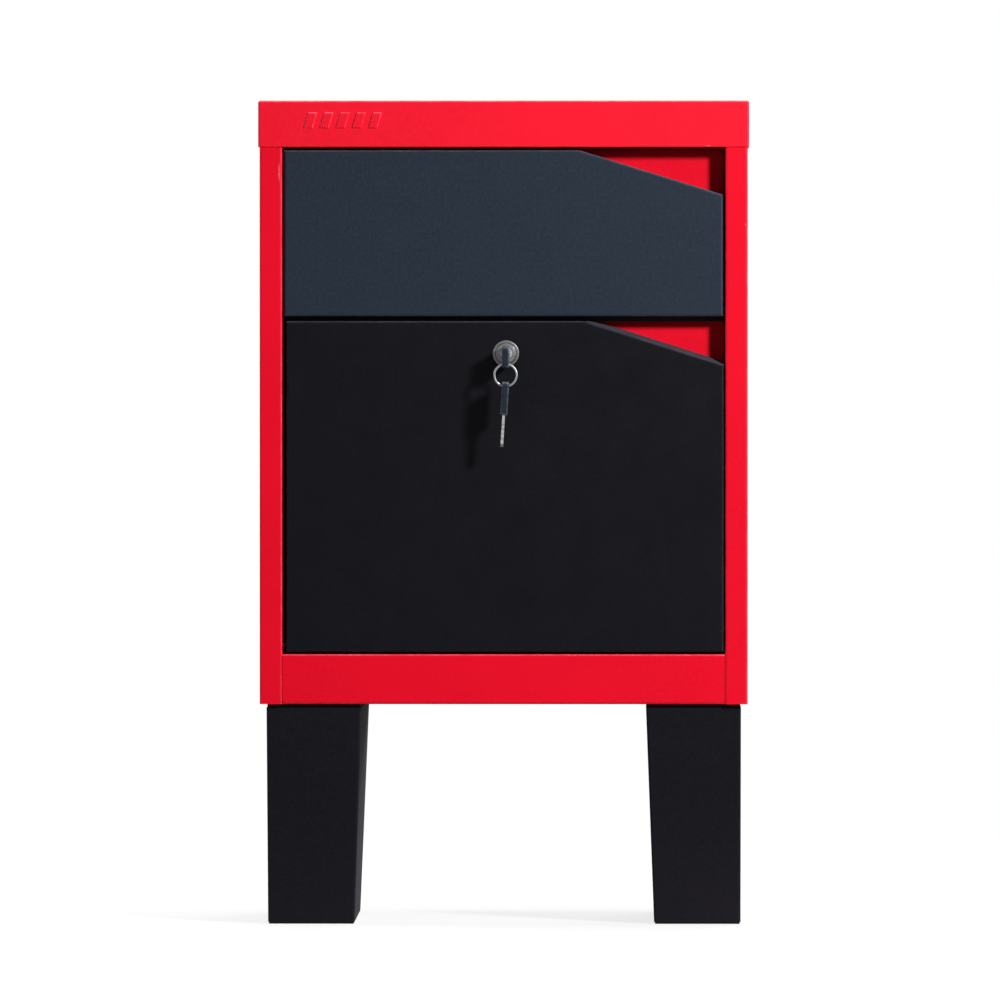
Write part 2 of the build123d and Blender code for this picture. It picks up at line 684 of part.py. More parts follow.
def plain_head():
    """Plastic grip moulded over the blade's root, with a slot for the ring."""
    start = KEY_BLADE_LENGTH
    head = block(
        (-HEAD_THICK / 2, HEAD_THICK / 2),
        (start, start + HEAD_LENGTH),
        (-HEAD_DROP - HEAD_WIDTH / 2, -HEAD_DROP + HEAD_WIDTH / 2),
    )
    head = fillet(head.edges().filter_by(Axis.X), HEAD_CORNER)
    head = fillet(head.faces().sort_by(Axis.X)[0].edges(), HEAD_ROUND)
    head = fillet(head.faces().sort_by(Axis.X)[-1].edges(), HEAD_ROUND)
    middle = start + HEAD_LENGTH - HEAD_BRIDGE - SLOT_WIDTH / 2
    outline = Pos(middle, -HEAD_DROP) * RectangleRounded(SLOT_WIDTH, SLOT_LENGTH, SLOT_CORNER)
    slot = extrude(Plane.YZ.offset(-HEAD_THICK) * outline, 2 * HEAD_THICK)
    return head - slot - plain_blade()


def in_lock(shape):
    """Place a key in the plug, its head towards the front."""
    return Pos(LOCK_X, KEY_TIP_Y, LOCK_Z) * Rot(0, 0, 180) * shape


def on_ring(shape):
    """Hang a key from the bottom of the ring, leaning a little to the left at its tip."""
    top = SPARE_HANG_Z + WIRE_CLEAR + HEAD_BRIDGE
    tip = top - HEAD_LENGTH - KEY_BLADE_LENGTH
    hung = Pos(LOCK_X, RING_Y - HEAD_DROP, tip) * Rot(90, 0, 0) * shape
    return hung.rotate(Axis((LOCK_X, RING_Y, SPARE_HANG_Z), (0, 1, 0)), SPARE_LEAN)


def key_ring():
    """Split ring: two flat coils of wire pressed side by side."""
    section = Plane.XZ * Pos(RING_RADIUS, 0) * RectangleRounded(*RING_SECTION, RING_CORNER)
    ring = revolve(section, Axis.Z)
    return Pos(LOCK_X, RING_Y, RING_Z) * Rot(90, 0, 0) * ring


# Legs ---------------------------------------------------------------------------------

def leg_section(side, inset, z):
    """Section of the leg on one side at height z, shrunk by inset."""
    share = z / LEG_HEIGHT
    width = LEG_FOOT_WIDTH + (LEG_TOP_WIDTH - LEG_FOOT_WIDTH) * share
    depth = LEG_FOOT_DEPTH + (LEG_TOP_DEPTH - LEG_FOOT_DEPTH) * share
    middle = side * (SIDE - LEG_INSET - width / 2)
    return Plane.XY.offset(z) * Pos(middle, 0) * Rectangle(width - 2 * inset, depth - 2 * inset)


def leg_shape(side, inset, z0, z1):
    """Tapered solid of a leg between two heights."""
    return loft([leg_section(side, inset, z) for z in (z0, z1)], ruled=True)


def leg(side):
    """Tapered box leg, open at both ends."""
    outer = leg_shape(side, 0.0, PAD, LEG_TOP_Z)
    caps = outer.faces().sort_by(Axis.Z)
    rims = caps[0].edges() + caps[-1].edges()
    long_edges = [edge for edge in outer.edges() if edge not in rims]
    outer = fillet(long_edges, BEND)
    return outer - leg_shape(side, LEG_SHEET, PAD - 1, LEG_TOP_Z + 1)


def leg_bolt_places(side):
    x = side * (SIDE - LEG_INSET - LEG_TOP_WIDTH / 2)
    return [(x + i * LEG_BOLT_X / 2, j * LEG_BOLT_Y / 2) for i in SIDES for j in SIDES]


def all_leg_bolt_places():
    return [place for side in SIDES for place in leg_bolt_places(side)]


def anchor_holes(side, z0, z1):
    """Bars as large as the two anchor holes of one leg."""
    x = side * (SIDE - LEG_INSET - LEG_FOOT_WIDTH / 2)
    return group(rod_z(x, end * ANCHOR_SPACING / 2, z0, z1, ANCHOR_RADIUS) for end in SIDES)


def leg_top_plates():
    """Plates that close the upper ends of the legs and take the leg bolts."""
    plates = []
    for side in SIDES:
        plate = leg_shape(side, PAD_INSET, LEG_TOP_Z, LEG_HEIGHT)
        for x, y in leg_bolt_places(side):
            plate -= rod_z(x, y, LEG_TOP_Z - 1, LEG_HEIGHT + 1, M6_HOLE)
        plates.append(plate)
    return group(plates)


def foot_plates():
    """Plates inside the lower ends of the legs, with the anchor holes."""
    top = PAD + LEG_PLATE
    return group(
        leg_shape(side, LEG_SHEET, PAD, top) - anchor_holes(side, 0, top + 1)
        for side in SIDES
    )


def foot_pads():
    """Rubber pads under the legs."""
    return group(
        leg_shape(side, PAD_INSET, 0.0, PAD) - anchor_holes(side, -1, PAD + 1)
        for side in SIDES
    )


def hexagon_z(x, y, z0, z1):
    """Hexagonal head or nut along Z, as wide as an M6 head."""
    outline = Pos(x, y) * RegularPolygon(M6_HEAD / math.sqrt(3), 6)
    return extrude(Plane.XY.offset(z0) * outline, z1 - z0)


def leg_bolts():
    """Bolts from inside the cabinet down through its floor and the legs' top plates."""
    bolts = []
    for x, y in all_leg_bolt_places():
        shank = rod_z(x, y, LEG_TOP_Z - M6_BELOW, FLOOR_TOP, M6_RADIUS)
        bolts.append(shank + hexagon_z(x, y, FLOOR_TOP, FLOOR_TOP + M6_HEAD_RISE))
    return group(bolts)


def leg_nuts():
    """Nuts welded under the legs' top plates."""
    nuts = []
    for x, y in all_leg_bolt_places():
        bore = rod_z(x, y, LEG_TOP_Z - M6_NUT - 1, LEG_TOP_Z + 1, M6_RADIUS)
        nuts.append(hexagon_z(x, y, LEG_TOP_Z - M6_NUT, LEG_TOP_Z) - bore)
    return group(nuts)


def cover_screw(x, z):
    """Pan-head screw through the back skirt."""
    face = BACK + SHEET
    top = face + M4_HEAD_RISE
    head = rod_y(x, face, top, z, M4_HEAD_RADIUS)
    head = fillet(head.faces().sort_by(Axis.Y)[-1].edges(), M4_HEAD_ROUND)
    depth = (top - M4_CROSS_DEPTH, top + 1)
    long_x, long_z = [(middle - M4_CROSS, middle + M4_CROSS) for middle in (x, z)]
    thin_x, thin_z = [(middle - M4_CROSS_HALF, middle + M4_CROSS_HALF) for middle in (x, z)]
    recess = block(long_x, depth, thin_z) + block(thin_x, depth, long_z)
    return head + rod_y(x, BACK - M4_LENGTH, face, z, M4_RADIUS) - recess


def rivets(places, y0, y1):
    return group(rivet(x, z, y0, y1) for x, z in places)


def all_nodes():
    """Every node of the box by name."""
    flap_rivets = liner_rivet_places(*FLAP_SIZE[:4])
    door_rivets = liner_rivet_places(*DOOR_SIZE[:4])
    return {
        "top_cover": top_cover(),
        "cover_screws": group(cover_screw(x, z) for x, z in cover_screw_places()),
        "left_side_panel": side_panel(-1),
        "right_side_panel": side_panel(1),
        "back_panel": back_panel(),
        "back_panel_rivets": rivets(back_rivet_places(), BACK_INNER, BACK),
        "bottom_pan": bottom_pan(),
        "middle_shelf": middle_shelf(),
        "lock_keeper": lock_keeper(),
        "upper_stop_rail": upper_stop_rail(),
        "flap_bumpers": bumpers(FLAP_TOP - BUMPER_DROP),
        "door_bumpers": bumpers(DOOR_TOP - BUMPER_DROP),
        "magnet_catch": magnet_catch(),
        "magnet_poles": magnet_poles(),
        "flap_pivot_pins": pivot_pins(FLAP_AXIS_Z),
        "door_pivot_pins": pivot_pins(DOOR_AXIS_Z),
        "flap_arm_brackets": arm_brackets(FLAP_ARM, FLAP_ARM_END - FLAP_TRAVEL, FLAP_AXIS_Z),
        "door_arm_brackets": arm_brackets(DOOR_ARM, DOOR_ARM_END - DOOR_TRAVEL, DOOR_AXIS_Z),
        "flap_panel": flap_panel(),
        "flap_liner": flap_liner(),
        "flap_liner_rivets": rivets(flap_rivets, PAN_BACK - SHEET, LINER_BACK),
        "flap_pivot_bushes": pivot_bushes(0.0, FLAP_WIDTH, FLAP_AXIS_Z),
        "flap_stop_arms": stop_arms(FLAP_ARM, FLAP_ARM_END, FLAP_AXIS_Z),
        "door_panel": door_panel(),
        "door_liner": door_liner(),
        "door_liner_rivets": rivets(door_rivets, PAN_BACK - SHEET, LINER_BACK),
        "door_pivot_bushes": pivot_bushes(DOOR_OFFSET, DOOR_WIDTH, DOOR_AXIS_Z),
        "door_stop_arms": stop_arms(DOOR_ARM, DOOR_ARM_END, DOOR_AXIS_Z),
        "lock_housing": lock_housing(),
        "lock_nut": lock_nut(),
        "lock_plug": lock_plug(),
        "lock_cam": lock_cam(),
        "cam_nut": cam_nut(),
        "key_blade": in_lock(plain_blade()),
        "key_head": in_lock(plain_head()),
        "key_ring": key_ring(),
        "spare_key_blade": on_ring(plain_blade()),
        "spare_key_head": on_ring(plain_head()),
        "left_leg": leg(-1),
        "right_leg": leg(1),
        "leg_top_plates": leg_top_plates(),
        "leg_bolts": leg_bolts(),
        "leg_nuts": leg_nuts(),
        "foot_plates": foot_plates(),
        "foot_pads": foot_pads(),
    }


os.makedirs("parts", exist_ok=True)
for node, shape in all_nodes().items():
    export_step(shape, f"parts/{node}.step")
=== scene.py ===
import json
import math

import bpy
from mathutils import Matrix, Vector


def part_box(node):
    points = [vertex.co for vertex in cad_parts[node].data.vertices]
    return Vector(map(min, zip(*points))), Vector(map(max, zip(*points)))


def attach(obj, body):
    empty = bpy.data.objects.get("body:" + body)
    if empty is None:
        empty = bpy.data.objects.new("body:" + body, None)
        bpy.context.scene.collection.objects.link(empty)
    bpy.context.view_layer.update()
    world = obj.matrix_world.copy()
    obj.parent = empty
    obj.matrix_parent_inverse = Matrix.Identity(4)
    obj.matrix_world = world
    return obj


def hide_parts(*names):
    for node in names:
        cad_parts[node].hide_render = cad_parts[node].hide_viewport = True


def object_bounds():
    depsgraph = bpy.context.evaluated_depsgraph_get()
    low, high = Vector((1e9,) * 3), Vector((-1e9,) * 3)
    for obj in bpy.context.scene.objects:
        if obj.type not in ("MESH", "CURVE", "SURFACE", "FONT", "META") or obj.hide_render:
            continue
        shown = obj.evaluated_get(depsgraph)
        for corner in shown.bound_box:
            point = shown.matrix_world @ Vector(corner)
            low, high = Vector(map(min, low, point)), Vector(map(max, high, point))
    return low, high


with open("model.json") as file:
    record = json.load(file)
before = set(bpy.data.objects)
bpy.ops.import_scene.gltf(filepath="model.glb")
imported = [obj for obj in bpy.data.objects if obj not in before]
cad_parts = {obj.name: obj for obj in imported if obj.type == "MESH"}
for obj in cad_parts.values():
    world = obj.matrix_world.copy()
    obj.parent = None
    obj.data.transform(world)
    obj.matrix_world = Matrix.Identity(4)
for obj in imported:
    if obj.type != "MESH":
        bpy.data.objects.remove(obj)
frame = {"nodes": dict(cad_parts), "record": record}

# Looks of a sheet-steel newspaper box on two deep legs: powder-coated panels, plated lock parts,
# a pair of keys, a pale floor and soft studio light. Lengths are metres, in the frame of the model.

nodes = frame["nodes"]
cad_low, cad_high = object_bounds()
cover_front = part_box("top_cover")[0].y
lock_low, lock_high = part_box("lock_housing")
ring_low, ring_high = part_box("key_ring")

MM = 0.001
WHITE = (1.0, 1.0, 1.0, 1.0)


# Shader helpers ------------------------------------------------------------------------

class Shader:
    """A material's node tree, with short ways to add the nodes that the finishes use."""

    def __init__(self, name):
        self.material = bpy.data.materials.new(name)
        self.material.use_nodes = True
        self.tree = self.material.node_tree
        self.bsdf = self.tree.nodes["Principled BSDF"]
        self.place = self.add("ShaderNodeTexCoord").outputs["Object"]

    def add(self, kind, **settings):
        node = self.tree.nodes.new(kind)
        for key, value in settings.items():
            setattr(node, key, value)
        return node

    def link(self, source, target):
        self.tree.links.new(source, target)

    def set(self, **values):
        """Sets sockets of the main shader by name, with _ for a space."""
        for key, value in values.items():
            self.bsdf.inputs[key.replace("_", " ")].default_value = value

    def mapped(self, scale, location=(0.0, 0.0, 0.0)):
        """Object coordinates with a scale for each axis, then moved by location."""
        mapping = self.add("ShaderNodeMapping")
        mapping.inputs["Scale"].default_value = scale
        mapping.inputs["Location"].default_value = location
        self.link(self.place, mapping.inputs["Vector"])
        return mapping.outputs["Vector"]

    def length(self, vector):
        node = self.add("ShaderNodeVectorMath", operation="LENGTH")
        self.link(vector, node.inputs[0])
        return node.outputs["Value"]

    def from_point(self, point, scale=(1.0, 1.0, 1.0)):
        """Distance from a point, in metres, with each axis weighted by scale."""
        return self.length(self.mapped(scale, [-c * k for c, k in zip(point, scale)]))

    def height(self):
        """Height above the floor, in metres."""
        parts = self.add("ShaderNodeSeparateXYZ")
        self.link(self.place, parts.inputs["Vector"])
        return parts.outputs["Z"]

    def noise(self, scale, detail=2.0, roughness=0.5, place=None):
        """Cloudy values round 0.5; scale is the number of clouds in a metre."""
        node = self.add("ShaderNodeTexNoise")
        node.inputs["Scale"].default_value = scale
        node.inputs["Detail"].default_value = detail
        node.inputs["Roughness"].default_value = roughness
        self.link(place or self.place, node.inputs["Vector"])
        return node.outputs["Fac"]

    def spread(self, value, low, high, to_low=0.0, to_high=1.0):
        """Maps a value from one range to another, clamped."""
        node = self.add("ShaderNodeMapRange")
        for key, number in zip(("From Min", "From Max", "To Min", "To Max"), (low, high, to_low, to_high)):
            node.inputs[key].default_value = number
        self.link(value, node.inputs["Value"])
        return node.outputs["Result"]

    def mix(self, factor, first, second):
        """Colour between first and second; each is a colour or a socket."""
        node = self.add("ShaderNodeMix", data_type="RGBA")
        self.link(factor, node.inputs[0])
        for socket, value in ((node.inputs[6], first), (node.inputs[7], second)):
            if isinstance(value, tuple):
                socket.default_value = (*value, 1.0)
            else:
                self.link(value, socket)
        return node.outputs[2]

    def calculate(self, operation, *values):
        """Result of a Math node; each value is a number or a socket."""
        node = self.add("ShaderNodeMath", operation=operation)
        for socket, value in zip(node.inputs, values):
            if isinstance(value, float):
                socket.default_value = value
            else:
                self.link(value, socket)
        return node.outputs["Value"]

    def times(self, first, second):
        return self.calculate("MULTIPLY", first, second)

    def bump(self, height, distance, strength, under=None):
        """Normal of a relief, on top of the relief given as under."""
        node = self.add("ShaderNodeBump")
        node.inputs["Distance"].default_value = distance
        node.inputs["Strength"].default_value = strength
        self.link(height, node.inputs["Height"])
        if under is not None:
            self.link(under, node.inputs["Normal"])
        return node.outputs["Normal"]

    def upward(self, start=0.55, end=0.95):
        """1 on faces that look up when the box is shut, 0 on upright ones."""
        parts = self.add("ShaderNodeSeparateXYZ")
        self.link(self.add("ShaderNodeTexCoord").outputs["Normal"], parts.inputs["Vector"])
        return self.spread(parts.outputs["Z"], start, end)

    def bends(self):
        """1 on the bends of the sheet, 0 on faces that lie nearly along the object's axes."""
        size = self.add("ShaderNodeVectorMath", operation="ABSOLUTE")
        self.link(self.add("ShaderNodeTexCoord").outputs["Normal"], size.inputs[0])
        parts = self.add("ShaderNodeSeparateXYZ")
        self.link(size.outputs["Vector"], parts.inputs["Vector"])
        largest = parts.outputs["X"]
        for other in ("Y", "Z"):
            largest = self.calculate("MAXIMUM", largest, parts.outputs[other])
        return self.spread(largest, 0.93, 0.78)

    def finish(self, colour, roughness=None, normal=None):
        """Gives the colour, roughness and normal to the main shader, and returns the material."""
        for key, socket in (("Base Color", colour), ("Roughness", roughness), ("Normal", normal)):
            if socket is not None:
                self.link(socket, self.bsdf.inputs[key])
        return self.material


def toned(colour, factor):
    """The colour, lighter or darker by a factor."""
    return tuple(min(1.0, channel * factor) for channel in colour)


# Materials -----------------------------------------------------------------------------

RED = (0.80, 0.0010, 0.0175)
LINER_RED = (0.72, 0.0010, 0.0160)
# Red of the top cover: painted light, a lighter and whiter copy of RED because the header catches more
# light
COVER_RED_PAINTED_LIGHTER = (0.87, 0.0050, 0.0235)
RUBBED_RED = (0.66, 0.02, 0.04)
# Pale red on the bends: wear, and a painted highlight
PALE_WEAR_AND_HIGHLIGHT_RED = (0.86, 0.22, 0.30)
DUSTY_RED = (0.62, 0.05, 0.06)
RUBBED_BLACK = (0.03, 0.034, 0.040)
# Pale lilac on faces that look up: a dusty film and a painted reflection of the sky
LILAC_DUST_AND_SKY_SHEEN = (0.105, 0.092, 0.128)
# Pale pink of the scratch marks, and of a painted highlight on the left stile's inner bend
SCRATCH_AND_GLINT_PINK = (0.80, 0.30, 0.34)
# Dark colour of the painted shade in the steps of the lock face
PAINTED_STEP_SHADE = (0.03, 0.028, 0.03)

# Pale marks on the red coat: place, weight of each axis, half width. The first, on the left stile's inner
# bend, is a painted highlight; the others are scratch marks through the coat.
SCRATCHES_AND_GLINT = (
    ((-0.1885, cover_front, 0.634), (1.0, 0.02, 0.10), 0.9 * MM),
    ((0.1720, cover_front, 0.656), (0.35, 0.02, 1.0), 0.8 * MM),
    ((0.2030, cover_front, 0.590), (1.0, 0.02, 0.50), 0.6 * MM),
)
LIGHTER_NEAR_FLOOR_HEIGHT = 0.12               # how far up the legs the paint gets lighter towards the floor


def powder_coat(
    name, colour, roughness, gloss, fleck,
    rub, rub_share, bend_wear_and_highlight, bend_wear_and_highlight_share, dust_and_sky_sheen, dust_and_sky_sheen_share,
    lighter_near_floor=0.0, scratches_and_glint=(),
):
    """Baked powder paint: orange peel, fine flecks, cloudy gloss, rubbed patches, wear with a painted
    highlight on the bends, and a dusty film on faces that look up, with a painted sky sheen on the dark
    paints.

    A share says how much of a patch's own colour shows where the patch is strongest."""
    s = Shader(name)
    s.set(Metallic=0.0, Specular_IOR_Level=gloss)
    clouds = s.noise(scale=7.0, detail=3.0)
    flecks = s.noise(scale=360.0, detail=4.0, roughness=0.65)
    rubs = s.noise(scale=24.0, detail=6.0, roughness=0.65, place=s.mapped((1.0, 1.0, 0.35)))
    grit = s.noise(scale=90.0, detail=5.0, roughness=0.7)
    dust_and_sky_sheen_noise = s.noise(scale=55.0, detail=5.0, roughness=0.6)
    film = s.noise(scale=38.0, detail=4.0, roughness=0.6)
    orange_peel = s.noise(scale=260.0)
    grain = s.noise(scale=1100.0)

    body = s.mix(s.spread(clouds, 0.3, 0.7), toned(colour, 0.92), toned(colour, 1.08))
    body = s.mix(s.spread(flecks, 0.40, 0.66), body, toned(colour, fleck))
    body = s.mix(s.spread(rubs, 0.58, 0.80, 0.0, rub_share), body, rub)

    patchy = s.spread(grit, 0.38, 0.62, 0.25, 1.0)
    # Wear on the bends and painted highlight: a paler colour on the bends of the sheet, stronger on bends
    # that face up, where light from above catches them
    bend_wear_and_highlight_mask = s.times(patchy, s.spread(rubs, 0.40, 0.60, 0.6 * bend_wear_and_highlight_share, bend_wear_and_highlight_share))
    bend_wear_and_highlight_mask = s.times(s.bends(), bend_wear_and_highlight_mask)
    stronger_where_lit_from_above = s.spread(s.upward(0.0, 0.5), 0.0, 1.0, 0.45, 1.0)
    body = s.mix(s.times(bend_wear_and_highlight_mask, stronger_where_lit_from_above), body, bend_wear_and_highlight)

    # Dusty film and painted sky sheen: a pale colour on faces that look up, which on the dark paints
    # stands in for the reflection of the sky
    dust_and_sky_sheen_mask = s.spread(dust_and_sky_sheen_noise, 0.30, 0.60, 0.7 * dust_and_sky_sheen_share, dust_and_sky_sheen_share)
    body = s.mix(s.times(s.upward(), dust_and_sky_sheen_mask), body, dust_and_sky_sheen)
    # Paler towards the floor on the legs
    if lighter_near_floor:
        near_floor = s.spread(s.height(), LIGHTER_NEAR_FLOOR_HEIGHT, 0.0)
        cloudy = s.spread(clouds, 0.3, 0.7, 0.5 * lighter_near_floor, lighter_near_floor)
        body = s.mix(s.times(cloudy, s.times(near_floor, near_floor)), body, dust_and_sky_sheen)
    # Pale marks: scratch marks, and a painted highlight on the left stile's inner bend
    for place, weights, half_width in scratches_and_glint:
        near = s.spread(s.from_point(place, weights), 0.4 * half_width, half_width, 0.7, 0.0)
        body = s.mix(s.times(near, patchy), body, SCRATCH_AND_GLINT_PINK)

    shine = s.spread(film, 0.3, 0.7, roughness - 0.02, roughness + 0.04)
    shine = s.calculate("ADD", shine, s.spread(s.upward(), 0.0, 1.0, 0.0, 0.40))
    peel = s.bump(orange_peel, distance=0.12 * MM, strength=0.22)
    skin = s.bump(grain, distance=0.05 * MM, strength=0.35, under=peel)
    return s.finish(body, shine, skin)


def red_paint(name, colour, roughness, gloss):
    return powder_coat(
        name, colour, roughness, gloss, fleck=1.06,
        rub=RUBBED_RED, rub_share=0.08,
        bend_wear_and_highlight=PALE_WEAR_AND_HIGHLIGHT_RED, bend_wear_and_highlight_share=0.80,
        dust_and_sky_sheen=DUSTY_RED, dust_and_sky_sheen_share=0.25,
        scratches_and_glint=SCRATCHES_AND_GLINT,
    )


def dark_paint(name, colour, roughness, gloss, fleck, bend_wear_and_highlight, dust_and_sky_sheen_share=0.9, lighter_near_floor=0.0):
    return powder_coat(
        name, colour, roughness, gloss, fleck,
        rub=RUBBED_BLACK, rub_share=0.06,
        bend_wear_and_highlight=bend_wear_and_highlight, bend_wear_and_highlight_share=0.9,
        dust_and_sky_sheen=LILAC_DUST_AND_SKY_SHEEN, dust_and_sky_sheen_share=dust_and_sky_sheen_share,
        lighter_near_floor=lighter_near_floor,
    )


def plated(name, colour, roughness, brush, brush_depth=0.02 * MM, dull=0.72):
    """Plated metal with brush marks along the axis where brush is small."""
    s = Shader(name)
    s.set(Metallic=1.0)
    marks = s.noise(scale=1.0, detail=3.0, roughness=0.6, place=s.mapped(brush))
    tarnish = s.noise(scale=160.0, detail=4.0, roughness=0.6)
    body = s.mix(s.spread(tarnish, 0.35, 0.75), colour, toned(colour, dull))
    shine = s.spread(marks, 0.25, 0.75, roughness - 0.07, roughness + 0.12)
    return s.finish(body, shine, s.bump(marks, brush_depth, strength=0.5))


def turned(name, colour, roughness):
    """Satin plated lock face with turning grooves, and painted shade in its steps round the plug."""
    groove_pitch = 0.55 * MM
    plug_radius, rim_radius = 6.6 * MM, 7.2 * MM
    shaded_steps = ((8.9 * MM, 0.55 * MM), (6.1 * MM, 0.35 * MM), (11.1 * MM, 0.35 * MM))  # radius, reach

    s = Shader(name)
    s.set(Metallic=1.0)
    middle = ((lock_low.x + lock_high.x) / 2, 0.0, (lock_low.z + lock_high.z) / 2)
    radius = s.from_point(middle, (1.0, 0.0, 1.0))
    rings = s.calculate("SINE", s.times(radius, 2 * math.pi / groove_pitch))
    tarnish = s.noise(scale=260.0, detail=5.0, roughness=0.65)

    body = s.mix(s.spread(radius, plug_radius, rim_radius), toned(colour, 1.5), toned(colour, 0.60))
    body = s.mix(s.spread(tarnish, 0.40, 0.75, 0.0, 0.7), body, toned(colour, 0.35))
    body = s.mix(s.spread(rings, -1.0, 1.0, 0.0, 0.25), body, toned(colour, 0.45))
    # Painted shade: a dark line along each step round the plug, where shade falls
    for step_radius, reach in shaded_steps:
        away = s.calculate("ABSOLUTE", s.calculate("SUBTRACT", radius, step_radius))
        body = s.mix(s.spread(away, 0.0, reach, 0.85, 0.0), body, PAINTED_STEP_SHADE)
    shine = s.spread(tarnish, 0.25, 0.75, roughness - 0.06, roughness + 0.14)
    return s.finish(body, shine, s.bump(rings, distance=0.03 * MM, strength=0.5))


def moulded(name, colour, roughness, grain_scale=1400.0, pale_bend_scuff_and_glint=None):
    """Moulded plastic or rubber with a fine grain, and pale marks on its bends: scuff marks where hands
    rub it, and a painted highlight.
    """
    s = Shader(name)
    s.set(Metallic=0.0, Specular_IOR_Level=0.26)
    flow = s.noise(scale=300.0, detail=3.0)
    body = s.mix(s.spread(flow, 0.35, 0.7), toned(colour, 0.88), toned(colour, 1.15))
    # Pale bends: scuff marks and a painted highlight
    if pale_bend_scuff_and_glint:
        scuff_and_glint_mask = s.spread(s.noise(scale=330.0, detail=4.0, roughness=0.7), 0.42, 0.62)
        body = s.mix(s.times(s.bends(), scuff_and_glint_mask), body, pale_bend_scuff_and_glint)
    film = s.noise(scale=220.0, detail=3.0)
    shine = s.spread(film, 0.3, 0.7, roughness - 0.06, roughness + 0.08)
    return s.finish(body, shine, s.bump(s.noise(grain_scale), distance=0.04 * MM, strength=0.4))


# The bend colours given to the paints below are wear with a painted highlight
materials = {
    "red_coat": red_paint("red powder coat", RED, roughness=0.50, gloss=0.13),
    "red_liner": red_paint("red liner coat", LINER_RED, roughness=0.50, gloss=0.11),
    "flap_coat": dark_paint(
        "blue black coat", (0.0098, 0.0168, 0.0290), roughness=0.50, gloss=0.22, fleck=1.45,
        bend_wear_and_highlight=(0.07, 0.08, 0.095),
    ),
    "door_coat": dark_paint(
        "black coat", (0.0010, 0.0011, 0.0028), roughness=0.44, gloss=0.165, fleck=2.0,
        bend_wear_and_highlight=(0.045, 0.045, 0.052), dust_and_sky_sheen_share=0.55,
    ),
    "leg_coat": dark_paint(
        "leg coat", (0.0034, 0.0030, 0.0052), roughness=0.66, gloss=0.15, fleck=2.0,
        bend_wear_and_highlight=(0.035, 0.030, 0.036), dust_and_sky_sheen_share=0.4, lighter_near_floor=0.07,
    ),
    "black_plate": dark_paint(
        "black plate", (0.006, 0.006, 0.007), roughness=0.50, gloss=0.25, fleck=1.8,
        bend_wear_and_highlight=(0.03, 0.03, 0.03), dust_and_sky_sheen_share=0.2,
    ),
    "zinc": plated("zinc plate", (0.62, 0.63, 0.66), roughness=0.35, brush=(900.0, 900.0, 900.0)),
    "nickel": turned("satin nickel", (0.50, 0.49, 0.50), roughness=0.38),
    "key_steel": plated(
        "key steel", (0.66, 0.64, 0.65), roughness=0.42, brush=(1200.0, 1200.0, 90.0), dull=0.9,
    ),
    "ring_steel": plated(
        "ring steel", (0.50, 0.52, 0.56), roughness=0.34, brush=(60.0, 60.0, 60.0),
        brush_depth=0.0, dull=0.92,
    ),
    "key_plastic": moulded(
        "key plastic", (0.010, 0.016, 0.026), roughness=0.40, pale_bend_scuff_and_glint=(0.16, 0.18, 0.23),
    ),
    "nylon": moulded("black nylon", (0.012, 0.012, 0.012), roughness=0.5),
    "catch_plastic": moulded("catch plastic", (0.10, 0.055, 0.03), roughness=0.5),
    "rubber": moulded("rubber", (0.018, 0.018, 0.018), roughness=0.75, grain_scale=700.0),
}
# Painted light: the top cover gets a lighter, glossier copy of the red, because the header catches more
# light
lighter_cover_coat = red_paint("cover coat", COVER_RED_PAINTED_LIGHTER, roughness=0.46, gloss=0.19)

for entry in frame["record"]["subparts"]:
    node = nodes[entry["node"]]
    finish = lighter_cover_coat if entry["node"] == "top_cover" else materials[entry["material_slot"]]
    node.data.materials.clear()
    node.data.materials.append(finish)


# Split ring ----------------------------------------------------------------------------

def split_ring():
    """Two coils of flat spring wire side by side, with the jog where one crosses to the other."""
    middle = (ring_low + ring_high) / 2
    half_radial = 0.88 * MM
    half_axial = 0.62 * MM
    coil_offset = 0.66 * MM
    radius = (ring_high.x - ring_low.x) / 2 - half_radial
    turns = 1.96
    steps = 160
    sides = 16
    squareness = 0.6               # 1 makes the wire round; less squares its section
    jog_start, jog_end = 0.44, 0.56
    start_angle = math.radians(235)
    points = []
    for step in range(steps + 1):
        share = step / steps
        angle = start_angle + share * turns * 2 * math.pi
        outward = Vector((math.cos(angle), 0.0, math.sin(angle)))
        climb = min(1.0, max(0.0, (share - jog_start) / (jog_end - jog_start)))
        climb = climb * climb * (3 - 2 * climb)
        centre = middle + outward * radius + Vector((0.0, coil_offset * (2 * climb - 1), 0.0))
        for side in range(sides):
            turn = 2 * math.pi * side / sides
            across, along = math.cos(turn), math.sin(turn)
            across = math.copysign(abs(across) ** squareness, across) * half_radial
            along = math.copysign(abs(along) ** squareness, along) * half_axial
            points.append(centre + outward * across + Vector((0.0, along, 0.0)))
    faces = [tuple(range(sides)), tuple(range(steps * sides, (steps + 1) * sides))[::-1]]
    for step in range(steps):
        for side in range(sides):
            here, beside = step * sides + side, step * sides + (side + 1) % sides
            faces.append((here, here + sides, beside + sides, beside))
    mesh = bpy.data.meshes.new("split_ring")
    mesh.from_pydata(points, [], faces)
    for polygon in mesh.polygons:
        polygon.use_smooth = len(polygon.vertices) == 4
    mesh.materials.append(materials["ring_steel"])
    ring = bpy.data.objects.new("split_ring", mesh)
    bpy.context.scene.collection.objects.link(ring)
    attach(ring, "ring")
    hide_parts("key_ring")


split_ring()


# Floor, light and camera ---------------------------------------------------------------

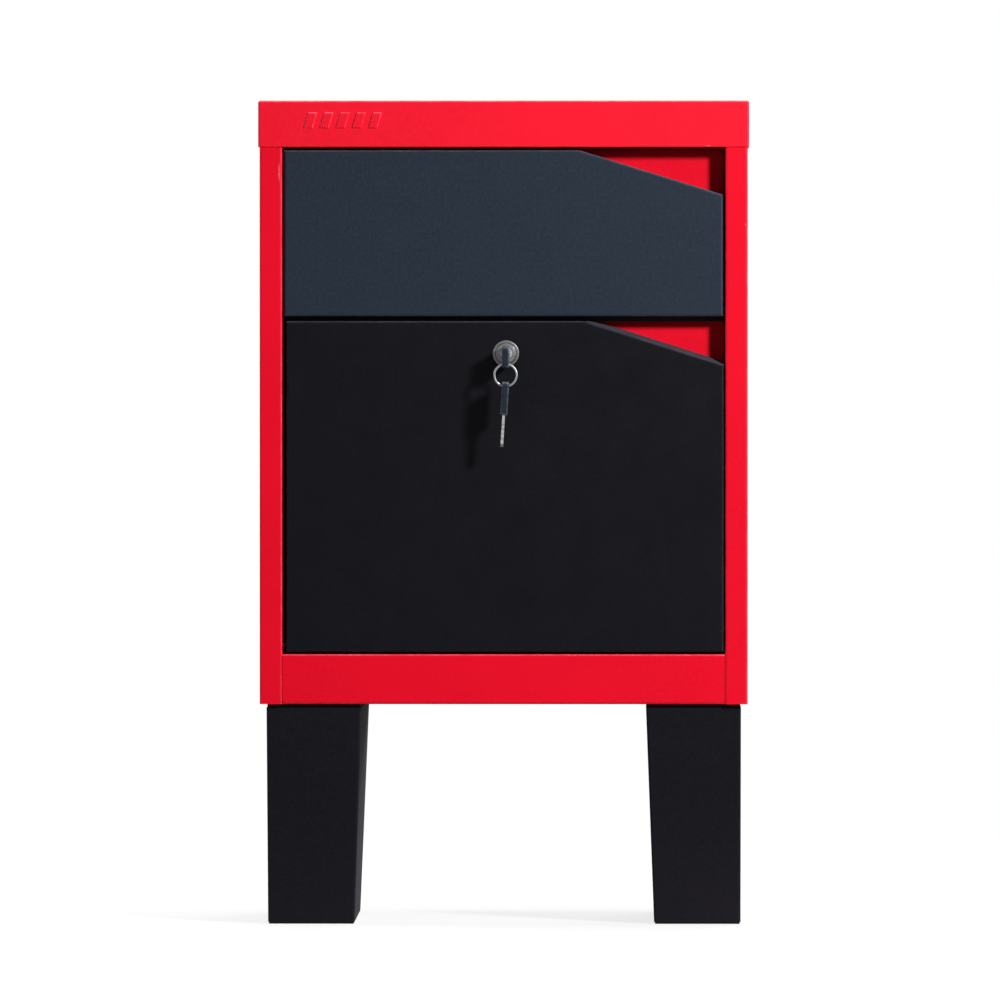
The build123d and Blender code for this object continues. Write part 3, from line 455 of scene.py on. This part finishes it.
def pale_floor():
    """Round pale floor, thin enough to show only soft shadows, that fades out towards its rim."""
    fade_start, fade_end = 0.3, 1.6
    cover_share = 0.20
    bpy.ops.mesh.primitive_circle_add(vertices=128, radius=3.0, fill_type="NGON")
    floor = bpy.context.object
    floor.name = "floor"
    s = Shader("floor")
    s.set(Roughness=0.9, Specular_IOR_Level=0.1)
    alpha = s.spread(s.length(s.place), fade_start, fade_end, cover_share, 0.0)
    s.link(alpha, s.bsdf.inputs["Alpha"])
    tint = s.mix(s.noise(scale=3.0, detail=3.0), (0.93, 0.93, 0.93), (0.95, 0.95, 0.95))
    floor.data.materials.append(s.finish(tint))


def area_light(name, towards, distance, size, power):
    """Round soft light on the side given by towards, aimed at the middle of the object."""
    light = bpy.data.lights.new(name, "AREA")
    light.shape = "DISK"
    light.size = size
    light.energy = power
    lamp = bpy.data.objects.new(name, light)
    side = Vector(towards).normalized()
    lamp.location = (cad_low + cad_high) / 2 + side * distance
    lamp.rotation_mode = "QUATERNION"
    lamp.rotation_quaternion = side.to_track_quat("Z", "Y")
    bpy.context.scene.collection.objects.link(lamp)


def white_world():
    """White surroundings: full white to the camera, softer in reflections, faint as light."""
    as_light, in_reflections, to_camera = 0.03, 0.30, 1.0
    world = bpy.data.worlds.new("studio")
    bpy.context.scene.world = world
    world.use_nodes = True
    tree = world.node_tree
    background = tree.nodes["Background"]
    background.inputs["Color"].default_value = WHITE
    background.inputs["Strength"].default_value = as_light
    surroundings = background.outputs["Background"]
    path = tree.nodes.new("ShaderNodeLightPath")
    for ray, strength in (("Is Glossy Ray", in_reflections), ("Is Camera Ray", to_camera)):
        shade = tree.nodes.new("ShaderNodeBackground")
        shade.inputs["Color"].default_value = WHITE
        shade.inputs["Strength"].default_value = strength
        both = tree.nodes.new("ShaderNodeMixShader")
        tree.links.new(path.outputs[ray], both.inputs["Fac"])
        tree.links.new(surroundings, both.inputs[1])
        tree.links.new(shade.outputs["Background"], both.inputs[2])
        surroundings = both.outputs["Shader"]
    tree.links.new(surroundings, tree.nodes["World Output"].inputs["Surface"])


def camera():
    """Long lens from a little to the right and level with the header."""
    eye_distance = 10.0
    eye_x, eye_height = 0.123, 0.50
    aim_x, aim_height = -0.003, 0.3586
    view_width = 0.840                 # width of the view at the front of the cabinet
    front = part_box("door_panel")[0].y
    eye = Vector((eye_x, front - eye_distance, eye_height))
    aim = Vector((aim_x, front, aim_height))
    data = bpy.data.cameras.new("camera")
    data.sensor_width = 36.0
    data.lens = data.sensor_width * (aim - eye).length / view_width
    data.clip_end = 100.0
    cam = bpy.data.objects.new("camera", data)
    cam.location = eye
    cam.rotation_mode = "QUATERNION"
    cam.rotation_quaternion = (aim - eye).to_track_quat("-Z", "Y")
    bpy.context.scene.collection.objects.link(cam)
    bpy.context.scene.camera = cam


pale_floor()
white_world()
area_light("key", towards=(0.80, -1.0, 0.58), distance=3.0, size=0.42, power=105.0)
area_light("fill", towards=(-0.5, -1.0, 0.3), distance=3.5, size=2.2, power=3.0)
area_light("top", towards=(0.0, 0.1, 1.0), distance=2.6, size=1.6, power=60.0)
area_light("left", towards=(-1.0, 0.1, 0.35), distance=3.0, size=1.6, power=45.0)
area_light("back", towards=(0.3, 1.0, 0.45), distance=3.0, size=1.8, power=60.0)
camera()
bpy.context.scene.view_settings.view_transform = "Standard"
